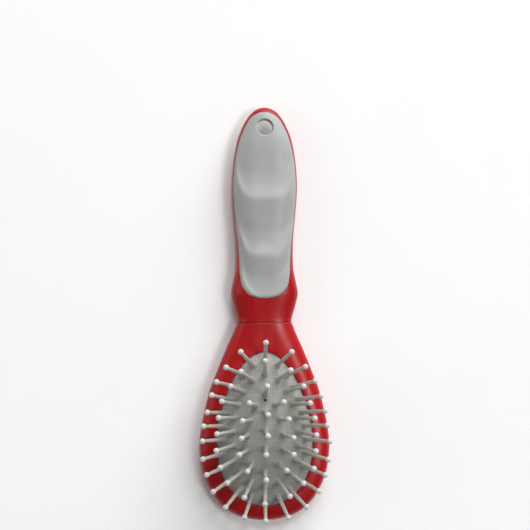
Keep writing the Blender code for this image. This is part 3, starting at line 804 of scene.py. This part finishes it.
def cushion(pin_rings):
    """The domed sheet, drawn up a little round each pin and dimpled beyond that."""
    roots = np.array([root[:2] for _, standing in pin_rings for root, _ in standing])

    def surface(ring):
        away = np.linalg.norm(ring[:, None, :] - roots, axis=2).min(1)
        collar = 0.3 * MM * np.exp(-((away / (2.0 * MM)) ** 2))
        hollow = 0.1 * MM * np.exp(-(((away - 4.2 * MM) / (1.6 * MM)) ** 2))
        return pad_z(ring) + collar - hollow

    pad = spaced_egg(*PAD_OUTLINE, 300)
    flange_edge = moved_out(pad, FLANGE_WIDTH)
    rings = [
        at_height(flange_edge, FLANGE_Z - FLANGE_THICKNESS),
        at_height(flange_edge, FLANGE_Z),
        at_height(pad, FLANGE_Z),
        at_height(moved_out(pad, -0.02 * MM), PAD_EDGE_Z - 0.2 * MM),
    ]
    for share in np.linspace(0.012, 0.98, 64):
        ring = towards_summit(pad, share)
        rings.append(at_height(ring, surface(ring)))
    rings.append(at_height(PAD_SUMMIT[None], surface(PAD_SUMMIT[None])))
    rings.append(at_height(PAD_SUMMIT[None], pad_z(PAD_SUMMIT[None]) - PAD_THICKNESS))
    for share in (0.8, 0.6, 0.4, 0.2, 0.08):
        ring = towards_summit(pad, share)
        rings.append(at_height(ring, pad_z(ring) - PAD_THICKNESS))
    rings.append(at_height(moved_out(pad, -1.5 * MM), FLANGE_Z - FLANGE_THICKNESS))
    bm = bmesh.new()
    ring_loft(bm, rings, True)
    mesh = bored(mesh_of("cushion", bm), VENT, VENT_R, 24)
    piece = place("air_cushion", mesh, WEAVE, "root", ["cushion_pad"])
    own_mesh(piece)


def pin_profile():
    """(radius, distance from the root, share of the way up) of a pin: flared root, shank, ball."""
    points = [(0.9 * MM, -PIN_FOOT), (1.85 * MM, -0.7 * MM), (1.72 * MM, 0.3 * MM), (1.5 * MM, 0.8 * MM)]
    first, last = 1.5 * MM, PIN_LENGTH - 2.4 * MM
    for share in np.linspace(0, 1, 10):
        radius = PIN_ROOT_R + (PIN_NECK_R - PIN_ROOT_R) * share**0.5
        points.append((radius, first + (last - first) * share))
    points.append((PIN_NECK_R * 1.04, PIN_LENGTH - 1.75 * MM))
    for turn in np.radians([40, 50, 62, 75, 90, 105, 120, 135, 150, 165]):
        points.append((PIN_BALL_R * math.sin(turn), PIN_LENGTH - PIN_BALL_R * math.cos(turn)))
    return [(radius, up, max(up, 0) / (PIN_LENGTH + PIN_BALL_R)) for radius, up in points]


def add_pin(bm, height_layer, root, axis):
    """One turned pin, leaning a little off its axis as moulded pins do."""
    stray = Vector((random.gauss(0, LEAN_SPREAD), random.gauss(0, LEAN_SPREAD), 0))
    axis = (axis + stray).normalized()
    turn = Vector((0, 0, 1)).rotation_difference(axis).to_matrix()
    angles = np.arange(PIN_SIDES) * 2 * math.pi / PIN_SIDES
    profile = [(0, -PIN_FOOT, 0), *pin_profile(), (0, PIN_LENGTH + PIN_BALL_R, 1)]
    rings = []
    for radius, up, _ in profile:
        if radius:
            circle = [Vector((radius * math.cos(a), radius * math.sin(a), up)) for a in angles]
            rings.append([root + turn @ point for point in circle])
        else:
            rings.append([root + axis * up])
    first_vert = len(bm.verts)
    ring_loft(bm, rings, False)
    bm.verts.ensure_lookup_table()
    index = first_vert
    for ring, (_, _, share) in zip(rings, profile):
        for _ in ring:
            bm.verts[index][height_layer] = share
            index += 1


def pins(pin_rings):
    """Turned pins, two neighbours to a piece as in the CAD model."""
    for name, standing in pin_rings:
        for first in range(0, len(standing), 2):
            label = f"{name}_pins_{first // 2 + 1:02d}"
            bm = bmesh.new()
            height_layer = bm.verts.layers.float.new("up_the_pin")
            for root, axis in standing[first:first + 2]:
                add_pin(bm, height_layer, root, axis)
            mesh = mesh_of(label + "_turned", bm)
            place(label + "_turned", mesh, PIN_NYLON, name + "_pins", [label])


# ---------------------------------------------------------------- studio


def studio_floor():
    """A pale floor with painted light: it glows brighter far away, where it meets the pale background."""
    bpy.ops.mesh.primitive_plane_add(size=20, location=(0, 0, -0.0002))
    floor = bpy.context.object
    floor.name = "studio_floor"
    pale, tree, shader = principled("floor_paper", Roughness=1.0, Specular_IOR_Level=0.0)
    where = node(tree, "ShaderNodeTexCoord").outputs["Object"]
    colour = mixed(tree, noise(tree, where, 30, 2), (0.91, 0.91, 0.91), (0.93, 0.93, 0.93))
    tree.links.new(colour, shader.inputs["Base Color"])
    away = node(tree, "ShaderNodeVectorMath", operation="LENGTH")
    tree.links.new(where, away.inputs[0])
    # Painted light: the floor's emission grows with distance, as a lit backdrop would.
    shader.inputs["Emission Color"].default_value = (1, 1, 1, 1)
    glow = scaled(tree, away.outputs["Value"], 0.8, 4, 0, 0.7)
    tree.links.new(glow, shader.inputs["Emission Strength"])
    floor.data.materials.append(pale)


def studio_lights():
    """Soft lights, mostly from the handle end and the right, and a dim world that looks pale."""
    for name, place_at, size, watts in (
        ("key", (1.4, 2.9, 1.2), 3.2, 172),
        ("glint", (0.1, 1.4, 2.7), 0.5, 16),
        ("side", (1.35, -0.06, 2.85), 0.7, 27),
        ("fill", (-2.7, 0.3, 1.5), 1.8, 12),
    ):
        light = bpy.data.lights.new(name, "AREA")
        light.size = size
        light.energy = watts
        lamp = bpy.data.objects.new(name, light)
        lamp.location = place_at
        towards = Vector((0, 0, 0.01) - np.array(place_at))
        lamp.rotation_euler = towards.to_track_quat("-Z", "Y").to_euler()
        bpy.context.scene.collection.objects.link(lamp)
    bpy.context.scene.view_settings.view_transform = "Standard"
    world = bpy.data.worlds.new("studio")
    world.use_nodes = True
    tree = world.node_tree
    background = tree.nodes["Background"]
    background.inputs["Color"].default_value = (1, 1, 1, 1)
    seen = node(tree, "ShaderNodeLightPath").outputs["Is Camera Ray"]
    tree.links.new(scaled(tree, seen, 0, 1, 0.18, 0.92), background.inputs["Strength"])
    bpy.context.scene.world = world


def studio_camera():
    """A view almost straight down, over the neck end of the handle and from slightly to the left."""
    height = 0.85
    width_in_view = 0.2827  # at the parting plane
    view_from = Vector((-0.0297, 0.026, height))
    view_to = Vector((0.0003, 0.026, PARTING_Z))
    camera = bpy.data.cameras.new("camera")
    camera.sensor_width = 36
    camera.lens = camera.sensor_width * (height - PARTING_Z) / width_in_view
    camera.clip_start = 0.01
    view = bpy.data.objects.new("camera", camera)
    view.location = view_from
    tilt = math.atan2(view_from.x - view_to.x, view_from.z - view_to.z)
    view.rotation_euler = (0, tilt, 0)
    bpy.context.scene.collection.objects.link(view)
    bpy.context.scene.camera = view


head_front_frame()
head_back_shell()
neck_tang()
handle_front_shell()
handle_back_shell()
front_grip()
hole_collar()
pin_rings = standing_pins()
cushion(pin_rings)
pins(pin_rings)
studio_floor()
studio_lights()
studio_camera()
